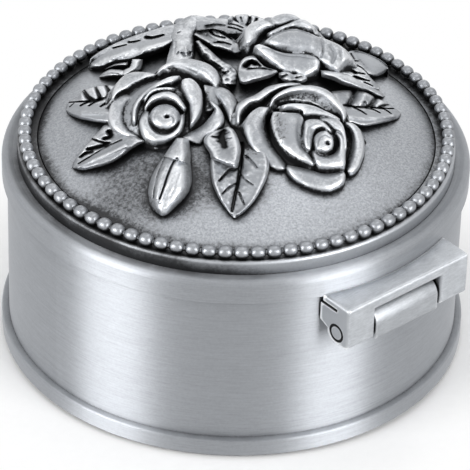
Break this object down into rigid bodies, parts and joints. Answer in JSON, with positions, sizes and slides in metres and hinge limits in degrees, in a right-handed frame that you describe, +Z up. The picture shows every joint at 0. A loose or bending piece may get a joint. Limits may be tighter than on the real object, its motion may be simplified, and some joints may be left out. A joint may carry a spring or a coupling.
{
  "type": "rosary box",
  "caption": "Round antique-pewter keepsake box for a rosary, with a hinged domed lid edged in beads and carrying a spray of cast roses, a bud and leaves.",
  "frame": {"origin": "centre of the underside of the base felt, on the drum's axis, where the box rests", "axes": "+Z up along the drum's axis, +Y to the back where the hinge is, +X along the hinge pin"},
  "size_m": [0.0665, 0.0694, 0.0427],
  "materials": {
    "brushed_pewter": "satin pewter, fine brushing round the drum, light antiquing",
    "cast_pewter": "fine sandblasted casting with dark patina low down",
    "bead_pewter": "rubbed bright on top, dark between the beads",
    "rose_pewter": "cast, black patina in the folds, rubbed bright on the lips",
    "leaf_pewter": "cast, black patina in the veins, rubbed bright on the edges",
    "pin_metal": "turned steel",
    "velvet": "short-pile navy velvet",
    "felt": "black wool felt"
  },
  "bodies": {
    "box": {"base_plate": "brushed_pewter", "base_felt": "felt", "side_wall": "brushed_pewter", "inner_collar": "brushed_pewter", "wall_lining": "velvet", "floor_pad": "velvet", "hinge_knuckle": "brushed_pewter", "hinge_pin": "pin_metal"},
    "lid": {"lid_hoop": "brushed_pewter", "lid_dome": "cast_pewter", "bead_ring": "bead_pewter", "hinge_bracket": "brushed_pewter", "lid_lining": "velvet", "rose_left": "rose_pewter", "rose_right": "rose_pewter", "rose_rear": "rose_pewter", "rose_bud": "rose_pewter", "bud_calyx": "leaf_pewter", "main_stem": "leaf_pewter", "side_stem": "leaf_pewter", "leaf_left": "leaf_pewter", "leaf_left_low": "leaf_pewter", "leaf_front": "leaf_pewter", "leaf_front_curled": "leaf_pewter", "leaf_right": "leaf_pewter", "leaf_right_folded": "leaf_pewter", "leaf_right_veined": "leaf_pewter", "leaf_right_far": "leaf_pewter", "leaf_back_long": "leaf_pewter", "leaf_back_small": "leaf_pewter", "leaf_back_low": "leaf_pewter", "leaf_back_mid": "leaf_pewter", "leaf_back_tip": "leaf_pewter", "leaf_back_veined": "leaf_pewter", "leaf_centre_curled": "leaf_pewter"}
  },
  "joints": [
    {"name": "lid_hinge", "type": "hinge", "parent": "box", "child": "lid", "pos_m": [0, 0.03393, 0.0216], "axis": [-1, 0, 0], "range_deg": [0, 100]}
  ]
}
